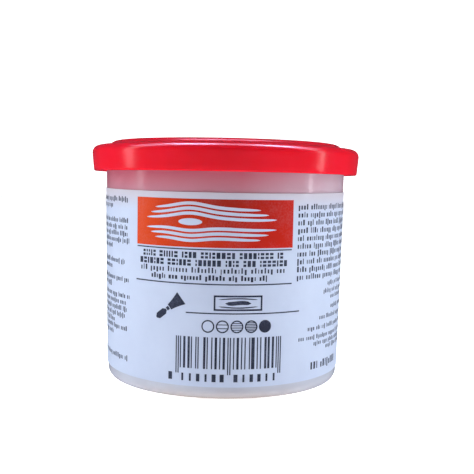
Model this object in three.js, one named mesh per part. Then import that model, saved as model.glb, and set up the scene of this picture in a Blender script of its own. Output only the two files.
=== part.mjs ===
// Small press-lid tub of wood filler putty: the tub, its wrap-round label, the putty and the lid.
// Millimetres, +Z up, origin at the middle of the base, the front of the label faces -Y.
import * as THREE from 'three';

// Tub: a turned shell with a mould draft, a rounded heel, a foot ring and a lip for the lid
const TUB_HEIGHT = 61.8;
const TUB_MOUTH_RADIUS = 33.1;
const TUB_DRAFT_DEG = 1.065;
const TUB_WALL = 1.1;
const TUB_FLOOR = 1.2;
const HEEL_RADIUS = 2.6;
const FLOOR_FILLET = 2.0;
const FOOT_RING_WIDTH = 3.2;
const FOOT_RECESS = 0.8;
const RIM_OVERHANG = 1.7;
const RIM_DEPTH = 2.0;
const RIM_ROUND = 0.6;
const MOUTH_ROUND = 0.4;

// Label: a straight-cut paper strip wrapped on the tub's cone, so its edges climb towards the seam
const LABEL_BELOW_RIM = 10.55;
const LABEL_ABOVE_BASE = 3.45;
const LABEL_SEAM_GAP = 3.0;
const LABEL_PAPER = 0.14;
const LABEL_GLUE = 0.06;

// Putty: fills the tub up to a headspace under the rim, with a shallow dish in its top
const PUTTY_BELOW_RIM = 16.8;
const PUTTY_CLEARANCE = 0.3;
const PUTTY_DISH_DEPTH = 1.2;
const PUTTY_EDGE_ROUND = 0.8;

// Lid: a cap that sits on the rim, with a plug inside the mouth and a skirt outside the rim
const LID_SEAT_GAP = 0.1;
const LID_ROOF = 1.3;
const SKIRT_CLEARANCE = 0.6;
const SKIRT_WALL = 1.5;
const SKIRT_LEAN = 0.45;
const SNAP_CLEARANCE = 0.15;
const SNAP_BELOW_RIM = 0.9;
const SKIRT_BELOW_SNAP = 2.55;
const LIP_ROUND = 0.5;
const SHOULDER_ROUND = 2.0;
const SHOULDER_RISE = 0.35;
const PLUG_CLEARANCE = 0.2;
const PLUG_WALL = 1.0;
const PLUG_DROP = 4.5;
const STACK_CLEARANCE = 0.2;
const STACK_RING_HEIGHT = 1.1;
const STACK_RING_CREST = 0.9;
const STACK_RING_SLOPE = 2.3;
const STACK_RING_BATTER = 0.8;
const PANEL_BELOW_RING = 1.7;
const PANEL_WALL = 1.2;

// Facets round every turned piece, and the fineness of the arcs in its profile
const FACETS = 72;
const ARC_DIVISIONS = 2;

const QUARTER = Math.PI / 2;
const FACET_ANGLE = (2 * Math.PI) / FACETS;
const draft = THREE.MathUtils.degToRad(TUB_DRAFT_DEG);

// Sizes shared by the pieces that meet
const floorTop = FOOT_RECESS + TUB_FLOOR;
const footOuter = wallRadius(HEEL_RADIUS) - HEEL_RADIUS / Math.cos(draft);
const footInner = footOuter - FOOT_RING_WIDTH;
const rimRadius = TUB_MOUTH_RADIUS + RIM_OVERHANG;
const rimUnderside = TUB_HEIGHT - RIM_DEPTH;
const rimRound = Math.min(RIM_ROUND, RIM_DEPTH / 2);

// Outer radius of the tub's wall at a height
function wallRadius(z) {
  return TUB_MOUTH_RADIUS - (TUB_HEIGHT - z) * Math.tan(draft);
}

// Radius of the cone that lies a given distance inside the wall's outer face
function insetRadius(z, inset) {
  return wallRadius(z) - inset / Math.cos(draft);
}

// Solid of revolution about +Z from a profile of radius and height; angle zero faces -Y
function turned(profile) {
  return new THREE.LatheGeometry(profile.getPoints(ARC_DIVISIONS), FACETS).rotateX(QUARTER);
}

function tubGeometry() {
  const mouthArcZ = TUB_HEIGHT - MOUTH_ROUND;
  const mouthArcRadius = insetRadius(mouthArcZ, TUB_WALL) + MOUTH_ROUND;
  const filletZ = floorTop + FLOOR_FILLET;
  const profile = new THREE.Path();
  profile.moveTo(0, FOOT_RECESS);
  profile.lineTo(footInner - FOOT_RECESS, FOOT_RECESS);
  profile.lineTo(footInner, 0);
  profile.absarc(footOuter, HEEL_RADIUS, HEEL_RADIUS, -QUARTER, -draft, false);
  profile.lineTo(wallRadius(rimUnderside), rimUnderside);
  profile.absarc(rimRadius - rimRound, rimUnderside + rimRound, rimRound, -QUARTER, 0, false);
  profile.absarc(rimRadius - rimRound, TUB_HEIGHT - rimRound, rimRound, 0, QUARTER, false);
  profile.absarc(mouthArcRadius, mouthArcZ, MOUTH_ROUND, QUARTER, Math.PI, false);
  profile.absarc(insetRadius(filletZ, TUB_WALL + FLOOR_FILLET), filletZ, FLOOR_FILLET, -draft, -QUARTER, true);
  profile.lineTo(0, floorTop);
  return turned(profile);
}

function puttyGeometry() {
  const wallInset = TUB_WALL + PUTTY_CLEARANCE;
  const bottom = floorTop + PUTTY_CLEARANCE;
  const cornerRound = FLOOR_FILLET;
  const top = TUB_HEIGHT - PUTTY_BELOW_RIM;
  const cornerZ = bottom + cornerRound;
  const edgeZ = top - PUTTY_EDGE_ROUND;
  const cornerRadius = insetRadius(cornerZ, wallInset + cornerRound);
  const edgeRadius = insetRadius(edgeZ, wallInset) - PUTTY_EDGE_ROUND;
  const profile = new THREE.Path();
  profile.moveTo(0, bottom);
  profile.lineTo(cornerRadius, bottom);
  profile.absarc(cornerRadius, cornerZ, cornerRound, -QUARTER, -draft, false);
  profile.absarc(edgeRadius, edgeZ, PUTTY_EDGE_ROUND, 0, QUARTER, false);
  profile.quadraticCurveTo(edgeRadius / 2, top - PUTTY_DISH_DEPTH, 0, top - PUTTY_DISH_DEPTH);
  return turned(profile);
}

function lidGeometry() {
  const roof = TUB_HEIGHT + LID_SEAT_GAP;
  const skirtInner = rimRadius + SKIRT_CLEARANCE;
  const skirtOuter = skirtInner + SKIRT_WALL;
  const lipOuter = skirtOuter - SKIRT_LEAN;
  const snapRadius = rimRadius + SNAP_CLEARANCE;
  const snapZ = rimUnderside - SNAP_BELOW_RIM;
  const skirtBottom = snapZ - SKIRT_BELOW_SNAP;
  const plugBottom = roof - PLUG_DROP;
  const plugOuter = insetRadius(plugBottom, TUB_WALL + PLUG_CLEARANCE);
  const plugInner = plugOuter - PLUG_WALL;
  const plugRound = PLUG_WALL / 2;
  const shoulderZ = roof + LID_ROOF;
  const landZ = shoulderZ + SHOULDER_RISE;
  const crestInner = footOuter + STACK_CLEARANCE;
  const crestOuter = crestInner + STACK_RING_CREST;
  const slopeFoot = crestOuter + STACK_RING_SLOPE;
  const slopeMiddle = (crestOuter + slopeFoot) / 2;
  const crestZ = landZ + STACK_RING_HEIGHT;
  const panelTop = crestZ - PANEL_BELOW_RING;
  const panelUnderside = panelTop - PANEL_WALL;
  const profile = new THREE.Path();
  profile.moveTo(0, panelUnderside);
  profile.lineTo(plugInner, panelUnderside);
  profile.absarc(plugInner + plugRound, plugBottom + plugRound, plugRound, Math.PI, 2 * Math.PI, false);
  profile.lineTo(plugOuter, roof);
  profile.lineTo(skirtInner, roof);
  profile.lineTo(skirtInner, rimUnderside);
  profile.lineTo(snapRadius, snapZ);
  profile.lineTo(snapRadius, skirtBottom);
  profile.absarc(lipOuter - LIP_ROUND, skirtBottom + LIP_ROUND, LIP_ROUND, -QUARTER, 0, false);
  profile.absarc(skirtOuter - SHOULDER_ROUND, shoulderZ - SHOULDER_ROUND, SHOULDER_ROUND, 0, QUARTER, false);
  profile.lineTo(slopeFoot, landZ);
  profile.bezierCurveTo(slopeMiddle, landZ, slopeMiddle, crestZ, crestOuter, crestZ);
  profile.lineTo(crestInner, crestZ);
  profile.lineTo(crestInner - STACK_RING_BATTER, panelTop);
  profile.lineTo(0, panelTop);
  return turned(profile);
}

// Box of one column per facet, bent round the tub so that its columns line up with the wall's facets
function labelGeometry() {
  const topZ = TUB_HEIGHT - LABEL_BELOW_RIM;
  const sine = Math.sin(draft);
  const cosine = Math.cos(draft);
  const topSlant = wallRadius(topZ) / sine;
  const bottomSlant = wallRadius(LABEL_ABOVE_BASE) / sine;
  const endAngle = Math.PI - LABEL_SEAM_GAP / (2 * wallRadius(topZ));
  const wholeFacets = Math.ceil(endAngle / FACET_ANGLE) - 1;
  const columns = 2 * wholeFacets + 2;
  const geometry = new THREE.BoxGeometry(columns, 1, 1, columns, 1, 1);
  const position = geometry.attributes.position;
  for (let i = 0; i < position.count; i += 1) {
    const facetAngle = Math.round(position.getX(i)) * FACET_ANGLE;
    const angle = THREE.MathUtils.clamp(facetAngle, -endAngle, endAngle);
    const flatSlant = position.getY(i) > 0 ? topSlant : bottomSlant;
    const offset = position.getZ(i) > 0 ? LABEL_GLUE + LABEL_PAPER : LABEL_GLUE;
    const slant = flatSlant / Math.cos(angle * sine);
    const radius = slant * sine + offset * cosine;
    const z = topZ + (slant - topSlant) * cosine - offset * sine;
    position.setXYZ(i, radius * Math.sin(angle), -radius * Math.cos(angle), z);
  }
  geometry.computeVertexNormals();
  return geometry;
}

function piece(name, geometry, color, roughness) {
  const material = new THREE.MeshStandardMaterial({ color, roughness, metalness: 0 });
  const mesh = new THREE.Mesh(geometry, material);
  mesh.name = name;
  return mesh;
}

const woodFiller = new THREE.Group();
woodFiller.add(piece('tub', tubGeometry(), 0xdfe0e6, 0.45));
woodFiller.add(piece('label', labelGeometry(), 0xdde6f2, 0.6));
woodFiller.add(piece('putty', puttyGeometry(), 0x5b3a24, 0.85));
woodFiller.add(piece('lid', lidGeometry(), 0xd7202b, 0.3));

export default woodFiller;
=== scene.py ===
"""Looks of a press-lid tub of wood filler putty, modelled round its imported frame."""
import math
from random import Random

import bmesh
import bpy
from bpy.props import FloatProperty, FloatVectorProperty, PointerProperty
from bpy.types import Operator, Panel, PropertyGroup
from mathutils import Color, Matrix, Quaternion, Vector, noise


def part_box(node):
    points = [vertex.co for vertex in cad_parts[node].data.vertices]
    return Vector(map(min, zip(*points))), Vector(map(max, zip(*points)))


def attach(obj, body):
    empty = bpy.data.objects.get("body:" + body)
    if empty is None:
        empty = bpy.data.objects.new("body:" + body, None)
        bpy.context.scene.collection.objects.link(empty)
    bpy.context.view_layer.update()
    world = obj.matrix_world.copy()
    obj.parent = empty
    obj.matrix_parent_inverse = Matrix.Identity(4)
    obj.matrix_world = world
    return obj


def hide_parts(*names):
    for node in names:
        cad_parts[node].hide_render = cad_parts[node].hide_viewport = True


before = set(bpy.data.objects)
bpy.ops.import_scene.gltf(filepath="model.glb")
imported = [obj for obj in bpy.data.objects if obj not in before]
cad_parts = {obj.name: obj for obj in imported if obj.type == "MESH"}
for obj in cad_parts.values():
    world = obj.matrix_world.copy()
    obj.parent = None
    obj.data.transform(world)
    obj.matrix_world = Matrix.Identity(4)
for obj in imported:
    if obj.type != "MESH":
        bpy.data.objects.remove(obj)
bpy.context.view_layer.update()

bl_info = {
    "name": "Wood Filler Tub",
    "version": (1, 0, 0),
    "blender": (4, 5, 0),
    "location": "View3D > Sidebar > Filler Tub",
    "description": "Models a press-lid tub of wood filler putty with its label and its printed matter",
    "category": "Object",
}

MM = 0.001

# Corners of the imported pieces, which the default sizes come from
_, TUB_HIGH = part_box("tub")
LABEL_LOW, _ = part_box("label")
PUTTY_LOW, PUTTY_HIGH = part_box("putty")
LID_LOW, LID_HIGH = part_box("lid")

# Fineness of the meshes
SPIN_STEPS = 192
ARC_SEGMENTS = 8
OUTLINE_STEP = 1.2 * MM
LABEL_COLUMNS = 240
LABEL_ROWS = 32
BEND_STEP = 0.8
OVAL_COLUMNS = 20
RING_SEGMENTS = 28
SURROUND_STEPS = 96
MERGE_DISTANCE = 1e-7
SHARP_ANGLE = math.radians(38)

# Reach of the studio, where its floor begins and ends to brighten, and its lamps:
# name, place, width, height, power, tint and whether the lamp shows only as a shine
FLOOR_RADIUS = 3.0
FLOOR_BELOW = 0.02 * MM
WALL_HEIGHT = 4.0
GLOW_RUN = (0.2, 0.7)
LAMP_TARGET = (0.0, 0.0, 0.035)
SOFTBOXES = (
    ("left_softbox", (-0.6, -0.07, 0.22), 0.08, 0.5, "side_power", "lamp", False),
    ("right_softbox", (0.6, -0.055, 0.22), 0.08, 0.5, "side_power", "lamp", False),
    ("top_softbox", (0.0, 0.0, 0.86), 1.4, 0.22, "top_power", "lamp", False),
    ("left_strip", (-0.55, -0.05, 0.2), 0.1, 0.5, "left_strip_power", "lamp", True),
    ("right_strip", (0.55, -0.05, 0.2), 0.025, 0.5, "right_strip_power", "lamp", True),
    ("long_tube", (0.0, 0.0, 0.8), 1.9, 0.4, "long_tube_power", "tube", True),
    ("left_tube", (-0.2, 0.0, 0.78), 0.16, 0.3, "tube_power", "tube", True),
    ("right_tube", (0.32, 0.0, 0.78), 0.16, 0.3, "tube_power", "tube", True),
)

# Where the printed tint and the painted glow, reflection and shade in the surfaces begin and end
NECK_RISE = (38.0 * MM, 56.0 * MM)
NECK_FADE = (57.0 * MM, 59.5 * MM)
NECK_ACROSS = (4.0 * MM, 27.0 * MM)
NECK_OUTSIDE = (32.1 * MM, 32.5 * MM)
HEEL_FALL = (0.4 * MM, 3.2 * MM)
HEEL_ACROSS = (10.0 * MM, 26.0 * MM)
PAPER_TOP = (46.5 * MM, 51.0 * MM)
PANEL_ALONG = (-21.0 * MM, 8.0 * MM)
PANEL_MIDDLE = (2.0 * MM, 18.0 * MM)
PANEL_UPPER = (39.0 * MM, 49.0 * MM)
PUTTY_DEEP = (0.03, 0.016, 0.009, 1.0)

# Printed matter, in millimetres on the flat label: along from the middle of the front, down from the top edge
PANEL = (-23.8, 17.7, 1.6, 13.4)
RULES = ((-23.7, 17.5, 13.9), (-24.0, 17.7, 22.35), (-9.2, 20.3, 29.5))
RULE_WEIGHT = 0.3
HEADLINES = ((-21.6, 15.8, 16.05, 1.5), (-22.6, 16.2, 17.95, 1.5))
SUBLINES = ((-22.3, 16.0, 19.6, 1.35, 0.45), (-18.9, 12.8, 21.4, 1.3, 0.6))
GRAIN_MOTIF = (-20.5, 13.0, 7.5)
KNIFE_MARK = (-13.8, 28.7, 8.6)
PLANK_MARK = (-2.3, 9.7, 25.0, 28.8)
SHADE_SCALE = (-5.4, 12.3, 32.7, 5)
BAR_BLOCK = (-11.7, 15.0, 35.4, 43.3, 44.7)
BAR_MODULES = 95
BAR_CAPTION = (46.5, 1.9)
LEFT_COLUMN = (-57.0, -25.7, 1.25)
LEFT_GROUPS = ((3.0, 2), (8.5, 5), (19.1, 2), (23.7, 2), (28.0, 5), (36.5, 2), (44.1, 1))
RIGHT_COLUMN = (19.3, 52.5, 1.4)
RIGHT_ROWS = (4.0, 10, 1.96)
RIGHT_NOTES = (
    (23.9, 32.0), (25.9, 30.0), (27.6, 34.0), (30.2, 34.4), (32.6, 28.3),
    (35.1, 23.6), (37.4, 20.4), (39.1, 26.1), (40.6, 32.0),
)
CONTENTS_LINE = (25.1, 41.0, 45.3, 1.9)
BACK_TABLE = (-97.0, -61.0, 3.0, 44.0)
TABLE_ROWS = (8.6, 7, 5.1)
BACK_STEPS = (57.0, 97.0, 4.0, 3)
STEP_LINES = (19.5, 12, 2.1)
SMALL_LETTER = 1.3

# Shares of a letter's height or of its pitch, and how often a dab rises, drops or is split
LINE_PITCH = 0.62
LOW_LETTER = 0.72
DESCENDER = 0.24
HEADING_PITCH = 0.77
HEADING_GAP = 0.28
SPLIT_GAP = 0.2
TALL_CHANCE = 0.3
DROP_CHANCE = 0.15
SPLIT_CHANCE = 0.5


def length(name, description, default):
    """Property that holds a length in metres."""
    return FloatProperty(
        name=name, description=description, default=default, min=0.0, precision=5, unit="LENGTH"
    )


def angle(name, description, default):
    """Property that holds an angle in radians."""
    return FloatProperty(
        name=name, description=description, default=default, subtype="ANGLE", unit="ROTATION"
    )


def power(name, description, default):
    """Property that holds the power of a lamp in watts."""
    return FloatProperty(name=name, description=description, default=default, min=0.0, unit="POWER")


def colour(name, description, red, green, blue):
    """Property that holds a colour, given as the eye reads it from 0 to 255."""
    linear = Color((red / 255, green / 255, blue / 255)).from_srgb_to_scene_linear()
    return FloatVectorProperty(
        name=name, description=description, default=tuple(linear), min=0.0, max=1.0, size=3, subtype="COLOR"
    )


def strength(name, description, default):
    """Property that holds the strength of a light that has no lamp."""
    return FloatProperty(name=name, description=description, default=default, min=0.0)


class TubSizes(PropertyGroup):
    """Sizes of the moulded tub."""

    height: length("Height", "Base to the top of the rim", TUB_HIGH.z)
    rim_radius: length("Rim radius", "Axis to the outside of the rim", TUB_HIGH.x)
    rim_overhang: length("Rim overhang", "How far the rim stands out from the wall", 1.7 * MM)
    rim_depth: length("Rim depth", "Height of the rim", 2.0 * MM)
    rim_round: length("Rim round", "Round on the rim's edges", 0.6 * MM)
    mouth_round: length("Mouth round", "Round on the inside of the mouth", 0.4 * MM)
    draft: angle("Draft", "Lean of the wall on each side", math.radians(1.065))
    wall: length("Wall", "Thickness of the wall", 1.1 * MM)
    floor: length("Floor", "Thickness of the floor", 1.2 * MM)
    heel_round: length("Heel round", "Round between the wall and the base", 2.6 * MM)
    floor_round: length("Floor round", "Round inside the floor's corner", 2.0 * MM)
    foot_width: length("Foot width", "Width of the flat foot ring", 3.2 * MM)
    foot_recess: length("Foot recess", "How far the base is raised inside the foot ring", 0.8 * MM)
    gate_radius: length("Gate radius", "Radius of the moulding gate under the base", 1.6 * MM)
    gate_height: length("Gate height", "How far the moulding gate stands out", 0.3 * MM)


class LabelSizes(PropertyGroup):
    """Sizes of the paper label and of its printing."""

    below_rim: length("Below rim", "Top of the rim to the label's top edge at the front", 10.55 * MM)
    bottom: length("Bottom", "Base to the label's bottom edge at the front", LABEL_LOW.z)
    seam_gap: length("Seam gap", "Bare wall between the label's ends", 3.0 * MM)
    paper: length("Paper", "Thickness of the paper", 0.14 * MM)
    glue: length("Glue", "Thickness of the glue under the paper", 0.06 * MM)
    ink: length("Ink", "Thickness of the printed ink", 0.025 * MM)
    ripple: length("Ripple", "Height of the slow waves in the paper", 0.03 * MM)
    blister: length("Blister", "Height of the lifted spot at the top edge", 0.28 * MM)


class PuttySizes(PropertyGroup):
    """Sizes of the putty in the tub."""

    bottom: length("Bottom", "Base of the tub to the underside of the putty", PUTTY_LOW.z)
    top: length("Top", "Base of the tub to the edge of the putty's top", PUTTY_HIGH.z)
    clearance: length("Clearance", "Gap to the wall", 0.3 * MM)
    dish_depth: length("Dish depth", "How far the top sinks in the middle", 1.2 * MM)
    edge_round: length("Edge round", "Round at the edge of the top", 0.8 * MM)
    swirl_pitch: length("Swirl pitch", "Step between the ridges that the filling nozzle left", 6.5 * MM)
    swirl_height: length("Swirl height", "Height of those ridges", 0.55 * MM)


class LidSizes(PropertyGroup):
    """Sizes of the moulded lid."""

    radius: length("Radius", "Axis to the widest part of the skirt", LID_HIGH.x)
    skirt_bottom: length("Skirt bottom", "Base of the tub to the skirt's lip", LID_LOW.z)
    crest: length("Crest", "Base of the tub to the top of the stacking ring", LID_HIGH.z)
    seat_gap: length("Seat gap", "Gap between the lid's roof and the rim", 0.1 * MM)
    roof: length("Roof", "Thickness of the roof over the rim", 1.3 * MM)
    skirt_wall: length("Skirt wall", "Thickness of the skirt", 1.5 * MM)
    skirt_lean: length("Skirt lean", "How far the skirt widens upwards", 0.45 * MM)
    lip_round: length("Lip round", "Round on the skirt's lower edge", 0.5 * MM)
    shoulder_round: length("Shoulder round", "Round between the skirt and the top", 2.0 * MM)
    shoulder_rise: length("Shoulder rise", "Rise of the land from the shoulder to the ring", 0.35 * MM)
    snap_clearance: length("Snap clearance", "Gap between the snap bead and the rim", 0.15 * MM)
    snap_below_rim: length("Snap below rim", "Rim's underside to the snap bead", 0.9 * MM)
    plug_clearance: length("Plug clearance", "Gap between the plug and the wall", 0.2 * MM)
    plug_wall: length("Plug wall", "Thickness of the plug", 1.0 * MM)
    plug_drop: length("Plug drop", "Roof to the bottom of the plug", 4.5 * MM)
    stack_clearance: length("Stack clearance", "Gap between the ring and the foot of a tub on top", 0.2 * MM)
    ring_crest: length("Ring crest", "Width of the ring's flat top", 0.9 * MM)
    ring_slope: length("Ring slope", "Width of the ring's outer slope", 2.3 * MM)
    ring_height: length("Ring height", "Height of the ring above the land", 1.1 * MM)
    ring_batter: length("Ring batter", "Lean of the ring's inner face", 0.8 * MM)
    panel_below: length("Panel below ring", "Ring's top to the recessed panel", 1.7 * MM)
    panel_wall: length("Panel wall", "Thickness of the recessed panel", 1.2 * MM)
    gate_radius: length("Gate radius", "Radius of the moulding gate on the panel", 1.5 * MM)
    gate_height: length("Gate height", "How far the moulding gate stands out", 0.35 * MM)


class FinishColours(PropertyGroup):
    """Colours of the surfaces, some of them painted glow and shade."""

    tub: colour("Tub", "Natural polypropylene", 204, 205, 215)
    tub_cloud: colour("Tub cloud", "Cloudier patches in the polypropylene", 194, 194, 204)
    # Painted glow: the lid's red light painted on the neck below it.
    neck: colour("Neck", "Neck of the tub with the lid's red in it", 197, 104, 119)
    # Painted shade: the heel darker and warmer near the floor and at the front middle.
    heel: colour("Heel", "Heel of the tub with the putty's warmth in it", 200, 188, 182)
    lid: colour("Lid", "Red polyethylene", 238, 19, 43)
    lid_cloud: colour("Lid cloud", "Deeper patches in the red", 231, 16, 36)
    paper: colour("Paper", "Coated label paper", 202, 210, 230)
    paper_cloud: colour("Paper cloud", "Greyer patches in the paper", 197, 205, 226)
    # Painted reflection: the lid's pinkish light painted on the paper's top strip.
    paper_top_painted_glow: colour("Paper top", "Warmer strip of paper along the top edge", 202, 191, 197)
    ink: colour("Ink", "Blue-black printing ink", 50, 53, 71)
    ink_thin: colour("Thin ink", "Where the dark ink is thin", 74, 78, 99)
    panel_left: colour("Panel left", "Orange end of the printed panel", 219, 66, 0)
    panel_right: colour("Panel right", "Red end of the printed panel", 199, 28, 4)
    # Painted shade: darker red painted on the top middle of the printed panel.
    panel_painted_shade: colour("Panel deep", "Deepest red, at the top of the printed panel", 150, 26, 10)
    putty: colour("Putty", "Walnut brown paste", 92, 58, 36)
    putty_fleck: colour("Putty fleck", "Wood flour in the paste", 126, 88, 58)
    floor: colour("Floor", "Plain pale floor", 250, 250, 250)


class StageSettings(PropertyGroup):
    """Camera and light of the studio."""

    camera_distance: length("Camera distance", "Camera in front of the tub's axis", 229.0 * MM)
    camera_height: length("Camera height", "Camera above the floor", 53.0 * MM)
    lens: FloatProperty(
        name="Lens", description="Focal length on a 36 mm wide sensor",
        default=61.66, subtype="DISTANCE_CAMERA",
    )
    pitch: angle("Pitch", "Camera's tilt below the level", 0.06303)
    yaw: angle("Yaw", "Camera's turn to the right", 0.01552)
    roll: angle("Roll", "Camera's lean to the left", 0.01965)
    lamp: colour("Lamp", "Tint of the lamps", 239, 250, 255)
    sky_tint: colour("Sky tint", "Tint of the even light", 216, 214, 255)
    tube: colour("Tube", "Tint of the overhead tubes", 206, 206, 255)
    side_power: power("Side power", "Power of each side softbox", 2.1)
    top_power: power("Top power", "Power of the overhead softbox", 6.0)
    left_strip_power: power("Left strip power", "Power of the shine at the left", 0.42)
    right_strip_power: power("Right strip power", "Power of the shine at the right", 0.4)
    long_tube_power: power("Long tube power", "Power of the long overhead shine", 14.0)
    tube_power: power("Tube power", "Power of each short overhead shine", 5.2)
    sky: strength("Sky", "Strength of the even light", 0.078)
    floor_glow: strength("Floor glow", "Light of the floor itself", 0.71)
    backdrop_glow: strength("Backdrop glow", "Light of the backdrop", 1.0)


class FillerTubSettings(PropertyGroup):
    """Everything that can be set on the tub."""

    tub: PointerProperty(type=TubSizes)
    label: PointerProperty(type=LabelSizes)
    putty: PointerProperty(type=PuttySizes)
    lid: PointerProperty(type=LidSizes)
    colours: PointerProperty(type=FinishColours)
    stage: PointerProperty(type=StageSettings)


# Meshes

def wall_radius(tub, height):
    """Outer radius of the tub's wall at a height."""
    return tub.rim_radius - tub.rim_overhang - (tub.height - height) * math.tan(tub.draft)


def inside_radius(tub, height, inset):
    """Radius of the cone that lies a given distance inside the wall's outer face."""
    return wall_radius(tub, height) - inset / math.cos(tub.draft)


def foot_radius(tub):
    """Outer radius of the flat foot ring, where the heel's round ends."""
    return wall_radius(tub, tub.heel_round) - tub.heel_round / math.cos(tub.draft)


def round_corner(shell, corner, radius):
    """Round one corner of an outline by a radius."""
    before, after = ((edge.other_vert(corner).co - corner.co).normalized() for edge in corner.link_edges)
    tangent = radius / math.tan(before.angle(after) / 2)
    bmesh.ops.bevel(
        shell, geom=[corner], offset=tangent, offset_type="OFFSET", affect="VERTICES",
        segments=ARC_SEGMENTS, profile=0.5, material=-1,
    )


def turned(outline):
    """Spin an outline of radius, height and corner round about the tub's axis into a closed shell."""
    shell = bmesh.new()
    corners = [shell.verts.new((radius, 0.0, height)) for radius, height, _ in outline]
    for start, end in zip(corners, corners[1:]):
        shell.edges.new((start, end))
    for corner, (_, _, rounding) in zip(corners, outline):
        if rounding:
            round_corner(shell, corner, rounding)
    for edge in [edge for edge in shell.edges if edge.calc_length() > OUTLINE_STEP]:
        cuts = math.ceil(edge.calc_length() / OUTLINE_STEP) - 1
        bmesh.ops.subdivide_edges(shell, edges=[edge], cuts=cuts)
    bmesh.ops.spin(
        shell, geom=shell.verts[:] + shell.edges[:], cent=(0, 0, 0), axis=(0, 0, 1),
        angle=math.tau, steps=SPIN_STEPS, use_merge=True,
    )
    close_shell(shell)
    return shell


def close_shell(shell):
    """Merge the doubles of a shell and turn its faces outwards."""
    bmesh.ops.remove_doubles(shell, verts=shell.verts, dist=MERGE_DISTANCE)
    bmesh.ops.recalc_face_normals(shell, faces=shell.faces)
    if not all(edge.is_manifold for edge in shell.edges):
        raise RuntimeError("a shell is not closed")


def add_piece(name, shell, material, body, node=None):
    """Make a piece from a shell, ride it on its body and hide the imported part of its node."""
    mesh = bpy.data.meshes.new(name)
    shell.to_mesh(mesh)
    shell.free()
    mesh.materials.append(material)
    mesh.shade_smooth()
    mesh.set_sharp_from_angle(angle=SHARP_ANGLE)
    piece = bpy.data.objects.new(name, mesh)
    bpy.context.scene.collection.objects.link(piece)
    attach(piece, body)
    if node:
        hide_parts(node)


def tub_shell(tub):
    """Moulded tub: gate, foot ring, heel, wall, rim and the hollow inside."""
    floor_top = tub.foot_recess + tub.floor
    foot_inner = foot_radius(tub) - tub.foot_width
    rim_underside = tub.height - tub.rim_depth
    return turned([
        (0.0, tub.foot_recess - tub.gate_height, 0.0),
        (tub.gate_radius * 0.8, tub.foot_recess - tub.gate_height, 0.1 * MM),
        (tub.gate_radius, tub.foot_recess, 0.1 * MM),
        (foot_inner - tub.foot_recess, tub.foot_recess, 0.5 * MM),
        (foot_inner, 0.0, 0.25 * MM),
        (wall_radius(tub, 0.0), 0.0, tub.heel_round),
        (wall_radius(tub, rim_underside), rim_underside, 0.3 * MM),
        (tub.rim_radius, rim_underside, tub.rim_round),
        (tub.rim_radius, tub.height, tub.rim_round),
        (inside_radius(tub, tub.height, tub.wall), tub.height, tub.mouth_round),
        (inside_radius(tub, floor_top, tub.wall), floor_top, tub.floor_round),
        (0.0, floor_top, 0.0),
    ])


def lid_shell(lid, tub):
    """Moulded lid: panel, plug, roof, snap bead, skirt, shoulder and stacking ring."""
    roof = tub.height + lid.seat_gap
    skirt_inner = lid.radius - lid.skirt_wall
    rim_underside = tub.height - tub.rim_depth
    snap_radius = tub.rim_radius + lid.snap_clearance
    snap_height = rim_underside - lid.snap_below_rim
    plug_bottom = roof - lid.plug_drop
    plug_outer = inside_radius(tub, plug_bottom, tub.wall + lid.plug_clearance)
    plug_inner = plug_outer - lid.plug_wall
    shoulder = roof + lid.roof
    skirt_height = shoulder - lid.shoulder_round - lid.skirt_bottom
    shoulder_corner = lid.radius + lid.skirt_lean * lid.shoulder_round / skirt_height
    land = shoulder + lid.shoulder_rise
    crest_inner = foot_radius(tub) + lid.stack_clearance
    crest_outer = crest_inner + lid.ring_crest
    panel_top = lid.crest - lid.panel_below
    panel_underside = panel_top - lid.panel_wall
    slope_angle = math.atan2(lid.ring_height, lid.ring_slope / 2)
    slope_round = 0.48 * math.hypot(lid.ring_height, lid.ring_slope / 2) / math.tan(slope_angle / 2)
    return turned([
        (0.0, panel_underside, 0.0),
        (plug_inner, panel_underside, 0.6 * MM),
        (plug_inner, plug_bottom, 0.49 * lid.plug_wall),
        (plug_outer, plug_bottom, 0.49 * lid.plug_wall),
        (plug_outer, roof, 0.3 * MM),
        (skirt_inner, roof, 0.4 * MM),
        (skirt_inner, rim_underside, 0.3 * MM),
        (snap_radius, snap_height, 0.4 * MM),
        (snap_radius, lid.skirt_bottom, 0.3 * MM),
        (lid.radius - lid.skirt_lean, lid.skirt_bottom, lid.lip_round),
        (shoulder_corner, shoulder, lid.shoulder_round),
        (crest_outer + 0.75 * lid.ring_slope, land, slope_round),
        (crest_outer + 0.25 * lid.ring_slope, lid.crest, slope_round),
        (crest_inner, lid.crest, 0.3 * MM),
        (crest_inner - lid.ring_batter, panel_top, 0.5 * MM),
        (lid.gate_radius, panel_top, 0.1 * MM),
        (lid.gate_radius * 0.8, panel_top + lid.gate_height, 0.1 * MM),
        (0.0, panel_top + lid.gate_height, 0.0),
    ])


def putty_shell(putty, tub):
    """Putty in the tub, with the swirl that filling left in its dished top."""
    bottom_edge = inside_radius(tub, putty.bottom, tub.wall + putty.clearance)
    top_edge = inside_radius(tub, putty.top, tub.wall + putty.clearance)
    shell = turned([
        (0.0, putty.bottom, 0.0),
        (bottom_edge, putty.bottom, tub.floor_round),
        (top_edge, putty.top, putty.edge_round),
        (0.0, putty.top - putty.dish_depth, 0.0),
    ])
    swirl_top(shell, putty, top_edge)
    bmesh.ops.recalc_face_normals(shell, faces=shell.faces)
    return shell


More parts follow.
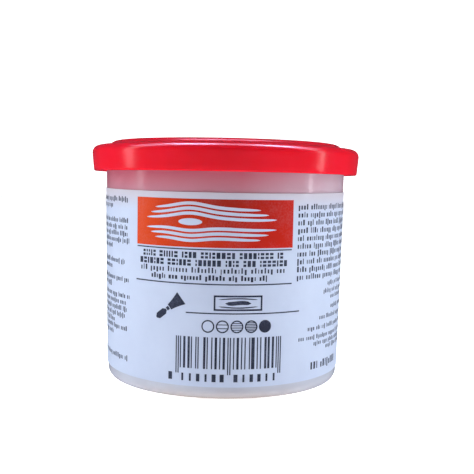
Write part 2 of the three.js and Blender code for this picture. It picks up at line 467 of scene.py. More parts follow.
def swirl_top(shell, putty, edge):
    """Raise the spiral ridges and small drags in the top of the putty."""
    for vert in shell.verts:
        radius = math.hypot(vert.co.x, vert.co.y)
        share = radius / edge
        if vert.normal.z < 0.3 or share > 0.985:
            continue
        turn = math.atan2(vert.co.y, vert.co.x)
        ridge = math.sin(math.tau * radius / putty.swirl_pitch - turn)
        fade = min(1.0, radius / putty.swirl_pitch) * (1.0 - share ** 6)
        drag = noise.fractal(vert.co * 110.0, 1.0, 2.0, 4)
        peak = math.exp(-(radius / (3.0 * MM)) ** 2)
        vert.co.z += putty.swirl_height * (0.6 * ridge * fade + 0.35 * drag * fade + 1.4 * peak)


def label_top(label, tub):
    """Height of the label's top edge at the front."""
    return tub.height - label.below_rim


def paper_lift(label, along, down):
    """How far the paper stands off the wall beyond its glue, at a place on the flat label."""
    waves = math.sin(along / (7.0 * MM)) * math.sin(along / (3.1 * MM) + down / (9.0 * MM))
    spot = ((along - 21.0 * MM) / (1.1 * MM)) ** 2 + (down / (0.9 * MM)) ** 2
    return label.ripple * (1.0 + waves) / 2 + label.blister * math.exp(-spot)


def bend_on_wall(shell, label, tub):
    """Bend a flat shell round the tub: x runs along the label, y up from its top edge and z off the wall."""
    sine, cosine = math.sin(tub.draft), math.cos(tub.draft)
    top = label_top(label, tub)
    top_slant = wall_radius(tub, top) / sine
    for vert in shell.verts:
        along, up, off = vert.co
        off += paper_lift(label, along, -up)
        slant = math.hypot(along, top_slant + up)
        turn = math.atan2(along, top_slant + up) / sine
        radius = slant * sine + off * cosine
        height = top + (slant - top_slant) * cosine - off * sine
        vert.co = (radius * math.sin(turn), -radius * math.cos(turn), height)


def thicken(shell, base, thickness):
    """Give a flat sheet its thickness, from a base height up."""
    bmesh.ops.translate(shell, verts=shell.verts, vec=(0, 0, base))
    raised = bmesh.ops.extrude_face_region(shell, geom=shell.faces[:], use_keep_orig=True)["geom"]
    raised_verts = [part for part in raised if isinstance(part, bmesh.types.BMVert)]
    bmesh.ops.translate(shell, verts=raised_verts, vec=(0, 0, thickness))


def paper_shell(label, tub):
    """Paper strip cut straight and wrapped on the cone, with its ends at the seam behind."""
    top = label_top(label, tub)
    cosine = math.cos(tub.draft)
    top_slant = wall_radius(tub, top) / math.sin(tub.draft)
    end_turn = math.pi - label.seam_gap / (2 * wall_radius(tub, top))
    depth = (top - label.bottom) / cosine
    sheet = bmesh.new()
    bmesh.ops.create_grid(sheet, x_segments=LABEL_COLUMNS, y_segments=LABEL_ROWS, size=1.0)
    for vert in sheet.verts:
        down = depth * (1.0 - vert.co.y) / 2
        fan = vert.co.x * end_turn * math.sin(tub.draft)
        vert.co = ((top_slant - down) * math.tan(fan), -down, 0.0)
    thicken(sheet, label.glue, label.paper)
    bend_on_wall(sheet, label, tub)
    close_shell(sheet)
    return sheet


# Printing, drawn flat in millimetres and then laid on the paper

def stamp_bar(ink, left, right, top, bottom):
    """Print a bar between two places along the label and two depths below its top edge."""
    columns = max(1, math.ceil((right - left) / BEND_STEP))
    bar = bmesh.ops.create_grid(ink, x_segments=columns, y_segments=1, size=0.5)["verts"]
    bmesh.ops.scale(ink, verts=bar, vec=(right - left, bottom - top, 1.0))
    bmesh.ops.translate(ink, verts=bar, vec=((left + right) / 2, -(top + bottom) / 2, 0.0))
    return bar


def stamp_oval(ink, along, down, width, height):
    """Print a filled oval, in columns narrow enough to follow the wall."""
    oval = bmesh.ops.create_grid(ink, x_segments=OVAL_COLUMNS, y_segments=1, size=0.5)["verts"]
    for vert in oval:
        turn = math.pi * (vert.co.x + 0.5)
        rise = math.copysign(height / 2 * math.sin(turn), vert.co.y)
        vert.co = (along - width / 2 * math.cos(turn), rise - down, 0.0)
    bmesh.ops.remove_doubles(ink, verts=oval, dist=1e-4)


def hollow(ink, shape, weight):
    """Leave only the outline of a printed shape, of a line weight."""
    filling = list({face for vert in shape for face in vert.link_faces})
    bmesh.ops.inset_region(ink, faces=filling, thickness=weight, use_boundary=True, use_even_offset=True)
    bmesh.ops.delete(ink, geom=filling, context="FACES")


def stamp_ring(ink, along, down, radius, weight):
    """Print a ring of a line weight."""
    ring = bmesh.ops.create_circle(
        ink, cap_ends=True, cap_tris=True, radius=radius, segments=RING_SEGMENTS
    )["verts"]
    bmesh.ops.translate(ink, verts=ring, vec=(along, -down, 0.0))
    hollow(ink, ring, weight)


def stamp_frame(ink, left, right, top, bottom, weight):
    """Print a rectangular outline of a line weight."""
    hollow(ink, stamp_bar(ink, left, right, top, bottom), weight)


def stamp_dab(ink, left, right, top, bottom, split):
    """Print one dab of letter size, whole or split in two by a gap."""
    if not split:
        stamp_bar(ink, left, right, top, bottom)
        return
    middle = (top + bottom) / 2
    half_gap = SPLIT_GAP / 2 * (bottom - top)
    stamp_bar(ink, left, right, top, middle - half_gap)
    stamp_bar(ink, left, right, middle + half_gap, bottom)


def stamp_heading(ink, chance, left, right, baseline, height):
    """Print a bold greeked line: dabs of one height in word groups that spell nothing."""
    pitch = height * HEADING_PITCH
    along = left
    while along < right - 2 * pitch:
        for _ in range(chance.randint(3, 8)):
            width = pitch * chance.choice((0.34, 0.62, 0.72, 0.8))
            if along + width > right:
                break
            split = chance.random() < SPLIT_CHANCE
            stamp_dab(ink, along, along + width, baseline - height, baseline, split)
            along += width + pitch * HEADING_GAP
        along += pitch * 0.7


def stamp_line(ink, chance, left, right, baseline, height, weight=0.5):
    """Print a greeked line: letter-size dabs in word groups that spell nothing."""
    pitch = height * LINE_PITCH
    along = left
    while along < right - 2 * pitch:
        for _ in range(chance.randint(3, 8)):
            width = pitch * weight * chance.choice((0.6, 1.0, 1.0, 1.25))
            if along + width > right:
                break
            tall = chance.random() < TALL_CHANCE
            below = 0.0 if chance.random() > DROP_CHANCE else DESCENDER * height
            top = baseline - height * (1.0 if tall else LOW_LETTER)
            stamp_bar(ink, along, along + width, top, baseline + below)
            along += width + pitch * (1.0 - weight)
        along += pitch * 0.8


def stamp_wave(ink, left, right, middle, weight, course):
    """Print a line that tapers at its ends and follows a course of depth along its length."""
    line = stamp_bar(ink, left, right, middle - weight / 2, middle + weight / 2)
    half = (right - left) / 2
    for vert in line:
        share = (vert.co.x - left - half) / half
        taper = math.sqrt(max(0.0, 1.0 - share ** 4)) * 0.94 + 0.06
        vert.co.y = -middle + (vert.co.y + middle) * taper - course(vert.co.x)


def stamp_knife(ink, along, down, size, tilt):
    """Print a filling knife: a flared blade, a neck and a rounded handle."""
    blade = stamp_bar(ink, 0.04 * size, 0.5 * size, -0.21 * size, 0.21 * size)
    for vert in blade:
        vert.co.y *= 0.42 + 0.58 * (vert.co.x / (0.5 * size)) ** 1.5
    neck = stamp_bar(ink, -0.07 * size, 0.02 * size, -0.055 * size, 0.055 * size)
    handle = stamp_bar(ink, -0.5 * size, -0.09 * size, -0.095 * size, 0.095 * size)
    for vert in handle:
        share = (vert.co.x + 0.295 * size) / (0.205 * size)
        vert.co.y *= math.sqrt(max(0.0, 1.0 - share ** 8)) * 0.75 + 0.25
    knife = blade + neck + handle
    bmesh.ops.rotate(ink, verts=knife, cent=(0, 0, 0), matrix=Matrix.Rotation(tilt, 3, "Z"))
    bmesh.ops.translate(ink, verts=knife, vec=(along, -down, 0.0))


def stamp_plank(ink, left, right, top, bottom):
    """Print a plank in outline with its grain and a filled crack."""
    weight = 0.42
    middle = (top + bottom) / 2
    reach = (bottom - top) / 4
    stamp_frame(ink, left, right, top, bottom, weight)
    stamp_wave(ink, left + 2.8, right - 2.8, middle, 1.0, lambda x: 0.12 * math.sin(x))
    for side in (-1, 1):
        stamp_wave(
            ink, left + 1.1, right - 1.1, middle + side * reach, 0.3,
            lambda x, side=side: side * 0.2 * math.cos((x - (left + right) / 2) / 2.4),
        )


def stamp_shades(ink, left, right, down, count):
    """Print a scale of shades, from an open ring to a solid disc, by closer and closer hatching."""
    step = (right - left) / count
    radius = step * 0.45
    for place in range(count):
        along = left + step * (place + 0.5)
        if place == count - 1:
            stamp_oval(ink, along, down, 2 * radius, 2 * radius)
            continue
        stamp_ring(ink, along, down, radius, 0.32)
        lines = 2 * place
        for line in range(lines):
            offset = radius * 0.86 * (2 * (line + 1) / (lines + 1) - 1)
            reach = math.sqrt(radius ** 2 - offset ** 2) - 0.1
            stamp_bar(ink, along - reach, along + reach, down + offset - 0.1, down + offset + 0.1)


def stamp_bars(ink, chance):
    """Print a made-up block of bars with longer guard bars, and dabs for its caption."""
    left, right, top, bottom, guard_bottom = BAR_BLOCK
    module = (right - left) / BAR_MODULES
    guards = (0, 2, 46, 48, 92, 94)
    for place in guards:
        stamp_bar(ink, left + place * module, left + (place + 1) * module, top, guard_bottom)
    for start in [3 + 7 * digit for digit in range(6)] + [50 + 7 * digit for digit in range(6)]:
        first = chance.randint(1, 2)
        gap = chance.randint(1, 2)
        second = chance.randint(1, 5 - first - gap)
        place = left + (start + 1) * module
        stamp_bar(ink, place, place + first * module, top, bottom)
        place += (first + gap) * module
        stamp_bar(ink, place, place + second * module, top, bottom)
    baseline, height = BAR_CAPTION
    for place in [-7] + [4.5 + 7 * digit for digit in range(6)] + [51.5 + 7 * digit for digit in range(6)]:
        middle = left + (place + 2) * module
        width = chance.choice((0.5, 0.85, 1.0))
        stamp_bar(ink, middle - width / 2, middle + width / 2, baseline - height, baseline)


def stamp_front(ink, chance):
    """Print the front of the label below and beside its panel."""
    for left, right, down in RULES:
        stamp_bar(ink, left, right, down - RULE_WEIGHT / 2, down + RULE_WEIGHT / 2)
    for left, right, baseline, height in HEADLINES:
        stamp_heading(ink, chance, left, right, baseline, height)
    for left, right, baseline, height, weight in SUBLINES:
        stamp_line(ink, chance, left, right, baseline, height, weight)
    along, down, size = KNIFE_MARK
    stamp_knife(ink, along, down, size, math.radians(38))
    stamp_plank(ink, *PLANK_MARK)
    stamp_shades(ink, *SHADE_SCALE)
    stamp_bars(ink, chance)


def stamp_columns(ink, chance):
    """Print the columns of small lines at the sides."""
    left, right, height = LEFT_COLUMN
    for first, rows in LEFT_GROUPS:
        for row in range(rows):
            short = chance.uniform(0.0, 2.4) + (9.0 if row == rows - 1 and rows > 1 else 0.0)
            stamp_line(ink, chance, left, right - short, first + 1.72 * row, height)
    left, right, height = RIGHT_COLUMN
    first, rows, step = RIGHT_ROWS
    for row in range(rows):
        stamp_line(ink, chance, left, right - chance.uniform(0.0, 4.0), first + step * row, height)
    for baseline, start in RIGHT_NOTES:
        stamp_line(ink, chance, start, right, baseline, 1.15, weight=0.45)
    left, right, baseline, height = CONTENTS_LINE
    stamp_line(ink, chance, left, right, baseline, height)


def stamp_back(ink, chance):
    """Print the two panels on the back: directions with marks, and a framed table."""
    left, right, top, bottom = BACK_TABLE
    stamp_frame(ink, left, right, top, bottom, RULE_WEIGHT)
    first, rows, pitch = TABLE_ROWS
    for row in range(rows):
        down = first + pitch * row
        baseline = down - 1.4
        stamp_bar(ink, left + 1.5, right - 1.5, down - 0.1, down + 0.1)
        stamp_line(ink, chance, left + 2.0, left + 14.0, baseline, SMALL_LETTER)
        stamp_line(ink, chance, left + 17.0, right - 3.0, baseline, SMALL_LETTER, weight=0.45)
    left, right, top, count = BACK_STEPS
    step = (right - left) / count
    side = step - 2.0
    for place in range(count):
        box = left + step * place
        stamp_frame(ink, box, box + side, top, top + side, RULE_WEIGHT)
        stamp_plank(ink, box + 1.4, box + side - 1.4, 10.0, 13.6)
        if place:
            tilt = math.radians(-35 if place == 1 else 20)
            stamp_knife(ink, box + side / 2, 7.6, 5.4, tilt)
    first, rows, pitch = STEP_LINES
    for row in range(rows):
        end = right - chance.uniform(0.0, 12.0)
        stamp_line(ink, chance, left, end, first + pitch * row, SMALL_LETTER)


def stamp_grain(ink):
    """Print wood grain that parts round a knot."""
    left, right, middle = GRAIN_MOTIF
    knot = left + 0.36 * (right - left)

    def swell(x):
        return 0.9 * math.exp(-((x - knot) / 5.0) ** 2)

    def sway(x):
        return 0.3 * math.sin(x / 5.5)

    def course(row):
        return lambda x: row * (1.22 + swell(x) / abs(row)) + sway(x)

    for row in (-3, -2, -1, 1, 2, 3):
        inset = 1.3 * (abs(row) - 1)
        stamp_wave(ink, left + inset, right - 1.6 * inset, middle, 0.78, course(row))
    stamp_oval(ink, knot, middle + sway(knot), 6.0, 1.7)


def printed_shell(ink, label, tub, thickness):
    """Lay flat printing on the paper as a thin closed film."""
    bmesh.ops.scale(ink, verts=ink.verts, vec=(MM, MM, MM))
    sink = 0.4 * label.ink
    thicken(ink, label.glue + label.paper - sink, thickness + sink)
    bend_on_wall(ink, label, tub)
    close_shell(ink)
    return ink


# Materials

def rgba(value):
    """Colour property as a socket value."""
    return (*value, 1.0)


def socket(sockets, name):
    """Socket of a node by its identifier, or else by its name."""
    found = [one for one in sockets if one.identifier == name] or [one for one in sockets if one.name == name]
    return found[0]


def add_node(tree, kind, inputs=None, **settings):
    """Add a node, set it, and set or link its inputs."""
    made = tree.nodes.new(kind)
    for name, value in settings.items():
        setattr(made, name, value)
    for name, value in (inputs or {}).items():
        if isinstance(value, bpy.types.NodeSocket):
            tree.links.new(value, socket(made.inputs, name))
        else:
            socket(made.inputs, name).default_value = value
    return made


def noise_of(tree, vector, scale, detail=2.0, roughness=0.5):
    """Noise value at a scale in waves to the metre."""
    made = add_node(
        tree, "ShaderNodeTexNoise",
        {"Vector": vector, "Scale": scale, "Detail": detail, "Roughness": roughness},
    )
    return made.outputs[0]


def stretched(tree, vector, scale):
    """Coordinates scaled along each axis."""
    return add_node(tree, "ShaderNodeMapping", {"Vector": vector, "Scale": scale}).outputs[0]


def ranged(tree, value, low, high, to_low, to_high):
    """Value mapped from one range to another and held inside it."""
    made = add_node(
        tree, "ShaderNodeMapRange",
        {"Value": value, "From Min": low, "From Max": high, "To Min": to_low, "To Max": to_high},
    )
    return made.outputs[0]


def blended(tree, share, first, second):
    """Mix of two colours by a share."""
    made = add_node(
        tree, "ShaderNodeMix", {"Factor_Float": share, "A_Color": first, "B_Color": second}, data_type="RGBA"
    )
    return socket(made.outputs, "Result_Color")


def worked_out(tree, operation, first, second):
    """Value of a sum on two values."""
    made = add_node(tree, "ShaderNodeMath", {"Value": first, "Value_001": second}, operation=operation)
    return made.outputs[0]


def shader_group(name, inputs, outputs):
    """New node group with named sockets, and its input and output nodes."""
    group = bpy.data.node_groups.new(name, "ShaderNodeTree")
    for title, kind in inputs:
        group.interface.new_socket(title, in_out="INPUT", socket_type=kind)
    for title, kind in outputs:
        group.interface.new_socket(title, in_out="OUTPUT", socket_type=kind)
    return group, group.nodes.new("NodeGroupInput").outputs, group.nodes.new("NodeGroupOutput").inputs


def moulded_skin():
    """Group for moulded plastic: slow clouds in the colour, fine scuffs round the piece and orange peel."""
    name = "moulded_skin"
    if name in bpy.data.node_groups:
        return bpy.data.node_groups[name]
    group, given, result = shader_group(
        name,
        (("Vector", "NodeSocketVector"), ("Clear", "NodeSocketColor"), ("Cloud", "NodeSocketColor"),
         ("Smooth", "NodeSocketFloat"), ("Scuffed", "NodeSocketFloat")),
        (("Color", "NodeSocketColor"), ("Roughness", "NodeSocketFloat"), ("Height", "NodeSocketFloat")),
    )
    vector = given["Vector"]
    clouds = ranged(group, noise_of(group, vector, 70.0, 3.0), 0.35, 0.65, 0.0, 1.0)
    group.links.new(blended(group, clouds, given["Clear"], given["Cloud"]), result["Color"])
    streaks = noise_of(group, stretched(group, vector, (70.0, 70.0, 1900.0)), 1.0, 3.0, 0.65)
    scuffs = ranged(group, streaks, 0.58, 0.74, 0.0, 1.0)
    spread = add_node(
        group, "ShaderNodeMix",
        {"Factor_Float": scuffs, "A_Float": given["Smooth"], "B_Float": given["Scuffed"]}, data_type="FLOAT",
    )
    group.links.new(socket(spread.outputs, "Result_Float"), result["Roughness"])
    peel = noise_of(group, vector, 900.0, 2.0)
    grooves = ranged(group, streaks, 0.5, 0.8, 0.0, 0.1)
    group.links.new(worked_out(group, "ADD", peel, grooves), result["Height"])
    return group


def print_film():
    """Group for printed ink: where the film is thin, and its faint relief."""
    name = "print_film"
    if name in bpy.data.node_groups:
        return bpy.data.node_groups[name]
    group, given, result = shader_group(
        name,
        (("Vector", "NodeSocketVector"), ("Full", "NodeSocketColor"), ("Thin", "NodeSocketColor")),
        (("Color", "NodeSocketColor"), ("Roughness", "NodeSocketFloat"), ("Height", "NodeSocketFloat")),
    )
    vector = given["Vector"]
    fibres = noise_of(group, vector, 2400.0, 3.0, 0.6)
    patches = noise_of(group, vector, 160.0, 2.0)
    both = worked_out(group, "MULTIPLY", fibres, patches)
    thin = ranged(group, both, 0.22, 0.4, 0.0, 1.0)
    group.links.new(blended(group, thin, given["Full"], given["Thin"]), result["Color"])
    group.links.new(ranged(group, both, 0.15, 0.45, 0.3, 0.46), result["Roughness"])
    group.links.new(fibres, result["Height"])
    return group


def new_material(name):
    """New material with its tree, its shader and the object coordinates that its patterns read."""
    material = bpy.data.materials.new(name)
    material.use_nodes = True
    tree = material.node_tree
    place = tree.nodes.new("ShaderNodeTexCoord").outputs["Object"]
    return material, tree, tree.nodes["Principled BSDF"], place


def relief(tree, shader, height, distance):
    """Bump the surface by a height."""
    bump = add_node(tree, "ShaderNodeBump", {"Height": height, "Distance": distance, "Strength": 1.0})
    tree.links.new(bump.outputs[0], shader.inputs["Normal"])


def skinned(tree, shader, place, clear, cloud, smooth, scuffed, peel):
    """Put the moulded skin on a shader."""
    skin = add_node(
        tree, "ShaderNodeGroup",
        {"Vector": place, "Clear": rgba(clear), "Cloud": rgba(cloud), "Smooth": smooth, "Scuffed": scuffed},
        node_tree=moulded_skin(),
    )
    tree.links.new(skin.outputs["Color"], shader.inputs["Base Color"])
    tree.links.new(skin.outputs["Roughness"], shader.inputs["Roughness"])
    relief(tree, shader, skin.outputs["Height"], peel)


def from_axis(tree, place):
    """Distance from the tub's axis."""
    flat = stretched(tree, place, (1.0, 1.0, 0.0))
    return add_node(tree, "ShaderNodeVectorMath", {"Vector": flat}, operation="LENGTH").outputs["Value"]


def painted_neck_glow(tree, place):
    """Share of the painted red glow, the lid's light painted on the outside of the milky neck: most under the
    lid, less to the right.
    """
    split = add_node(tree, "ShaderNodeSeparateXYZ", {"Vector": place}).outputs
    rising = ranged(tree, split["Z"], *NECK_RISE, 0.0, 1.0)
    fading = ranged(tree, split["Z"], *NECK_FADE, 1.0, 0.0)
    across = ranged(tree, split["X"], *NECK_ACROSS, 1.0, 0.45)
    outside = ranged(tree, from_axis(tree, place), *NECK_OUTSIDE, 0.0, 1.0)
    along = worked_out(tree, "MULTIPLY", worked_out(tree, "MULTIPLY", rising, fading), across)
    return worked_out(tree, "MULTIPLY", along, outside)


def painted_heel_shade(tree, place):
    """Share of painted shade on the heel, darker and warmer: most at the floor, less to the sides."""
    split = add_node(tree, "ShaderNodeSeparateXYZ", {"Vector": place}).outputs
    falling = ranged(tree, split["Z"], *HEEL_FALL, 0.9, 0.0)
    across = ranged(tree, worked_out(tree, "ABSOLUTE", split["X"], 0.0), *HEEL_ACROSS, 1.0, 0.15)
    return worked_out(tree, "MULTIPLY", falling, across)


def tub_plastic(colours):
    """Natural polypropylene: satin, and milky enough for light to wander through the wall, with a painted red
    glow under the lid and painted shade at the heel.
    """
    material, tree, shader, place = new_material("tub_plastic")
    skinned(tree, shader, place, colours.tub, colours.tub_cloud, 0.17, 0.26, 0.003 * MM)
    shader.inputs["IOR"].default_value = 1.49
    shader.inputs["Subsurface Weight"].default_value = 0.6
    shader.inputs["Subsurface Radius"].default_value = (1.0, 0.9, 0.85)
    shader.inputs["Subsurface Scale"].default_value = 1.0 * MM
    skin = shader.inputs["Base Color"].links[0].from_socket
    # Painted shade: the heel darker and warmer near the floor and at the front middle.
    with_painted_light = blended(tree, painted_heel_shade(tree, place), skin, rgba(colours.heel))
    # Painted glow: the lid's red light painted over the neck.
    glowing = blended(tree, painted_neck_glow(tree, place), with_painted_light, rgba(colours.neck))
    tree.links.new(glowing, shader.inputs["Base Color"])
    return material


def lid_plastic(colours):
    """Glossy red polyethylene that glows a little where it is thin."""
    material, tree, shader, place = new_material("lid_plastic")
    skinned(tree, shader, place, colours.lid, colours.lid_cloud, 0.19, 0.25, 0.005 * MM)
    shader.inputs["IOR"].default_value = 1.51
    shader.inputs["Subsurface Weight"].default_value = 0.5
    shader.inputs["Subsurface Radius"].default_value = (1.0, 0.2, 0.2)
    shader.inputs["Subsurface Scale"].default_value = 1.5 * MM
    return material


def label_paper(colours):
    """Coated paper: bluish white, faintly cloudy, with a soft gloss and a painted pinkish reflection of the
    lid's light along its top edge.
    """
    material, tree, shader, place = new_material("label_paper")
    clouds = ranged(tree, noise_of(tree, place, 130.0, 4.0, 0.6), 0.3, 0.7, 0.0, 1.0)
    sheet = blended(tree, clouds, rgba(colours.paper), rgba(colours.paper_cloud))
    height = add_node(tree, "ShaderNodeSeparateXYZ", {"Vector": place}).outputs["Z"]
    upper = ranged(tree, height, *PAPER_TOP, 0.0, 0.8)
    # Painted reflection of the lid's red light on the paper's top strip.
    with_painted_light = blended(tree, upper, sheet, rgba(colours.paper_top_painted_glow))
    tree.links.new(with_painted_light, shader.inputs["Base Color"])
    fibres = noise_of(tree, place, 2600.0, 4.0, 0.65)
    tree.links.new(ranged(tree, fibres, 0.3, 0.7, 0.4, 0.52), shader.inputs["Roughness"])
    relief(tree, shader, fibres, 0.006 * MM)
    shader.inputs["Specular IOR Level"].default_value = 0.35
    return material


def filmed(tree, shader, place, full, thin):
    """Put printed ink on a shader."""
    film = add_node(
        tree, "ShaderNodeGroup", {"Vector": place, "Full": full, "Thin": thin}, node_tree=print_film()
    )
    tree.links.new(film.outputs["Color"], shader.inputs["Base Color"])
    tree.links.new(film.outputs["Roughness"], shader.inputs["Roughness"])
    relief(tree, shader, film.outputs["Height"], 0.002 * MM)
    shader.inputs["Specular IOR Level"].default_value = 0.25


def dark_ink(colours):
    """Blue-black printing ink."""
    material, tree, shader, place = new_material("dark_ink")
    filmed(tree, shader, place, rgba(colours.ink), rgba(colours.ink_thin))
    return material


def panel_ink(colours):
    """Warm red printing that runs from orange at its left end to red at its right, with painted shade
    darkening its top middle.
    """
    material, tree, shader, place = new_material("panel_ink")
    split = add_node(tree, "ShaderNodeSeparateXYZ", {"Vector": place}).outputs
    share = ranged(tree, split["X"], *PANEL_ALONG, 0.0, 1.0)
    warm = blended(tree, share, rgba(colours.panel_left), rgba(colours.panel_right))
    # Painted shade: darker towards the top middle of the panel.
    middle = ranged(tree, worked_out(tree, "ABSOLUTE", split["X"], 0.0), *PANEL_MIDDLE, 0.75, 0.0)
    upper = ranged(tree, split["Z"], *PANEL_UPPER, 0.0, 1.0)
    full = blended(tree, worked_out(tree, "MULTIPLY", middle, upper), warm, rgba(colours.panel_painted_shade))
    thin = blended(tree, 0.04, full, rgba(colours.paper))
    filmed(tree, shader, place, full, thin)
    return material


def putty_paste(colours):
    """Stiff brown paste with flecks of wood flour, still a little moist."""
    material, tree, shader, place = new_material("putty_paste")
    flour = noise_of(tree, place, 1500.0, 5.0, 0.7)
    drift = noise_of(tree, place, 120.0, 3.0)
    flecks = ranged(tree, flour, 0.5, 0.72, 0.0, 1.0)
    base = blended(tree, flecks, rgba(colours.putty), rgba(colours.putty_fleck))
    shade = ranged(tree, drift, 0.3, 0.7, 0.0, 0.35)
    tree.links.new(blended(tree, shade, base, PUTTY_DEEP), shader.inputs["Base Color"])
    tree.links.new(ranged(tree, drift, 0.3, 0.7, 0.42, 0.66), shader.inputs["Roughness"])
    relief(tree, shader, worked_out(tree, "ADD", flour, drift), 0.12 * MM)
    return material


# Stage

def aim(thing, place, target):
    """Put a lamp at a place and point it at a target."""
    thing.location = place
    thing.rotation_mode = "QUATERNION"
    thing.rotation_quaternion = (Vector(target) - Vector(place)).to_track_quat("-Z", "Y")


def add_softbox(name, place, width, height, watts, tint, shine):
    """Add a rectangular soft lamp that fills with light, or one that shows only as a shine."""
    lamp = bpy.data.lights.new(name, "AREA")
    lamp.shape = "RECTANGLE"
    lamp.size = width
    lamp.size_y = height
    lamp.energy = watts
    lamp.color = tint
    thing = bpy.data.objects.new(name, lamp)
    thing.visible_diffuse = not shine
    thing.visible_glossy = shine
    bpy.context.scene.collection.objects.link(thing)
    aim(thing, place, LAMP_TARGET)


def add_camera(stage):
    """Add the camera at the photograph's place."""
    camera = bpy.data.cameras.new("front_camera")
    camera.sensor_width = 36.0
    camera.lens = stage.lens
    camera.clip_start = 10 * MM
    thing = bpy.data.objects.new("front_camera", camera)
    bpy.context.scene.collection.objects.link(thing)
    level = math.cos(stage.pitch)
    ahead = Vector((math.sin(stage.yaw) * level, math.cos(stage.yaw) * level, -math.sin(stage.pitch)))
    thing.location = (0.0, -stage.camera_distance, stage.camera_height)
    thing.rotation_mode = "QUATERNION"
    thing.rotation_quaternion = ahead.to_track_quat("-Z", "Y") @ Quaternion((0, 0, 1), stage.roll)
    bpy.context.scene.camera = thing


def pale_floor(stage, colours):
    """Plain pale finish that glows a little near the tub and more further out."""
    material, tree, shader, place = new_material("pale_floor")
    shader.inputs["Base Color"].default_value = rgba(colours.floor)
    shader.inputs["Roughness"].default_value = 0.9
    shader.inputs["Emission Color"].default_value = rgba(colours.floor)
    glow = ranged(tree, from_axis(tree, place), *GLOW_RUN, stage.floor_glow, stage.backdrop_glow)
    tree.links.new(glow, shader.inputs["Emission Strength"])
    return material


def add_surround(name, shell, material):
    """Add a piece of the studio, which no glossy surface shows."""
    bmesh.ops.recalc_face_normals(shell, faces=shell.faces)
    mesh = bpy.data.meshes.new(name)
    shell.to_mesh(mesh)
    shell.free()
    mesh.materials.append(material)
    thing = bpy.data.objects.new(name, mesh)
    thing.visible_glossy = False
    bpy.context.scene.collection.objects.link(thing)
    return thing


def add_floor(material):
    """Add a wide round floor just under the tub."""
    floor = bmesh.new()
    bmesh.ops.create_circle(
        floor, cap_ends=True, cap_tris=True, radius=FLOOR_RADIUS, segments=SURROUND_STEPS
    )
    bmesh.ops.translate(floor, verts=floor.verts, vec=(0, 0, -FLOOR_BELOW))
    add_surround("studio_floor", floor, material)


def add_backdrop(material):
    """Add a wall round the floor's edge, which only the camera sees."""
    wall = bmesh.new()
    foot = wall.verts.new((FLOOR_RADIUS, 0, 0))
    head = wall.verts.new((FLOOR_RADIUS, 0, WALL_HEIGHT))
    bmesh.ops.spin(
        wall, geom=[foot, head, wall.edges.new((foot, head))], cent=(0, 0, 0), axis=(0, 0, 1),
        angle=math.tau, steps=SURROUND_STEPS, use_merge=True,
    )
    thing = add_surround("studio_wall", wall, material)
    thing.visible_diffuse = False
    thing.visible_shadow = False


# Operators

class FILLER_TUB_OT_add_tub(Operator):
    """Add the moulded tub"""

    bl_idname = "filler_tub.add_tub"
    bl_label = "Tub"

    def execute(self, context):
        settings = context.scene.filler_tub
        shell = tub_shell(settings.tub)
        add_piece("tub_moulding", shell, tub_plastic(settings.colours), "tub", "tub")
        return {"FINISHED"}


class FILLER_TUB_OT_add_putty(Operator):
    """Add the putty that fills the tub"""

    bl_idname = "filler_tub.add_putty"
    bl_label = "Putty"

    def execute(self, context):
        settings = context.scene.filler_tub
        shell = putty_shell(settings.putty, settings.tub)
        add_piece("putty_fill", shell, putty_paste(settings.colours), "tub", "putty")
        return {"FINISHED"}


class FILLER_TUB_OT_add_label(Operator):
    """Add the paper label and everything printed on it"""

    bl_idname = "filler_tub.add_label"
    bl_label = "Label and Printing"

    def execute(self, context):
        settings = context.scene.filler_tub
        label, tub, colours = settings.label, settings.tub, settings.colours
        paper = label_paper(colours)
        add_piece("label_strip", paper_shell(label, tub), paper, "tub", "label")
        panel = bmesh.new()
        stamp_bar(panel, *PANEL)
        panel = printed_shell(panel, label, tub, label.ink)
        add_piece("label_panel_print", panel, panel_ink(colours), "tub")
        motif = bmesh.new()
        stamp_grain(motif)
        motif = printed_shell(motif, label, tub, 2 * label.ink)
        add_piece("label_grain_print", motif, paper, "tub")
        ink = dark_ink(colours)
        chance = Random(7)
        for name, stamp in (("front", stamp_front), ("side", stamp_columns), ("back", stamp_back)):
            dark = bmesh.new()
            stamp(dark, chance)
            dark = printed_shell(dark, label, tub, label.ink)
            add_piece(f"label_{name}_print", dark, ink, "tub")
        return {"FINISHED"}


class FILLER_TUB_OT_add_lid(Operator):
    """Add the moulded lid"""

    bl_idname = "filler_tub.add_lid"
    bl_label = "Lid"

    def execute(self, context):
        settings = context.scene.filler_tub
        shell = lid_shell(settings.lid, settings.tub)
        add_piece("lid_moulding", shell, lid_plastic(settings.colours), "lid", "lid")
        return {"FINISHED"}


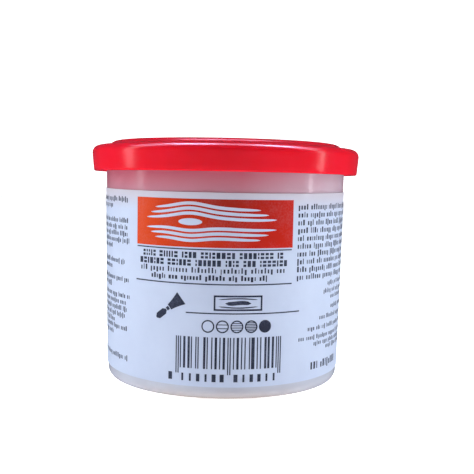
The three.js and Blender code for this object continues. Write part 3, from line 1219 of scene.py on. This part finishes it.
class FILLER_TUB_OT_add_stage(Operator):
    """Add the floor, the lamps and the camera"""

    bl_idname = "filler_tub.add_stage"
    bl_label = "Stage"

    def execute(self, context):
        scene = context.scene
        stage = scene.filler_tub.stage
        add_camera(stage)
        pale = pale_floor(stage, scene.filler_tub.colours)
        add_floor(pale)
        add_backdrop(pale)
        for name, place, width, height, watts, tint, shine in SOFTBOXES:
            add_softbox(name, place, width, height, getattr(stage, watts), getattr(stage, tint), shine)
        world = bpy.data.worlds.new("studio")
        world.use_nodes = True
        background = world.node_tree.nodes["Background"]
        background.inputs["Color"].default_value = rgba(stage.sky_tint)
        background.inputs["Strength"].default_value = stage.sky
        scene.world = world
        scene.view_settings.view_transform = "Standard"
        return {"FINISHED"}


STEPS = (
    (FILLER_TUB_OT_add_tub, "tub"),
    (FILLER_TUB_OT_add_putty, "putty"),
    (FILLER_TUB_OT_add_label, "label"),
    (FILLER_TUB_OT_add_lid, "lid"),
    (FILLER_TUB_OT_add_stage, "stage"),
)


class FILLER_TUB_PT_sidebar(Panel):
    """Sizes, colours and steps of the tub"""

    bl_label = "Wood Filler Tub"
    bl_space_type = "VIEW_3D"
    bl_region_type = "UI"
    bl_category = "Filler Tub"

    def draw(self, context):
        settings = context.scene.filler_tub
        for step, group in STEPS:
            self.draw_group(getattr(settings, group), step)
        self.draw_group(settings.colours)

    def draw_group(self, group, step=None):
        column = self.layout.box().column(align=True)
        if step:
            column.operator(step.bl_idname)
        for name in group.__annotations__:
            column.prop(group, name)


CLASSES = (
    TubSizes, LabelSizes, PuttySizes, LidSizes, FinishColours, StageSettings, FillerTubSettings,
    *(step for step, _ in STEPS), FILLER_TUB_PT_sidebar,
)


def register():
    for each in CLASSES:
        bpy.utils.register_class(each)
    bpy.types.Scene.filler_tub = PointerProperty(type=FillerTubSettings)


def unregister():
    del bpy.types.Scene.filler_tub
    for each in reversed(CLASSES):
        bpy.utils.unregister_class(each)


def main():
    register()
    bpy.ops.filler_tub.add_tub()
    bpy.ops.filler_tub.add_putty()
    bpy.ops.filler_tub.add_label()
    bpy.ops.filler_tub.add_lid()
    bpy.ops.filler_tub.add_stage()


if __name__ == "__main__":
    main()
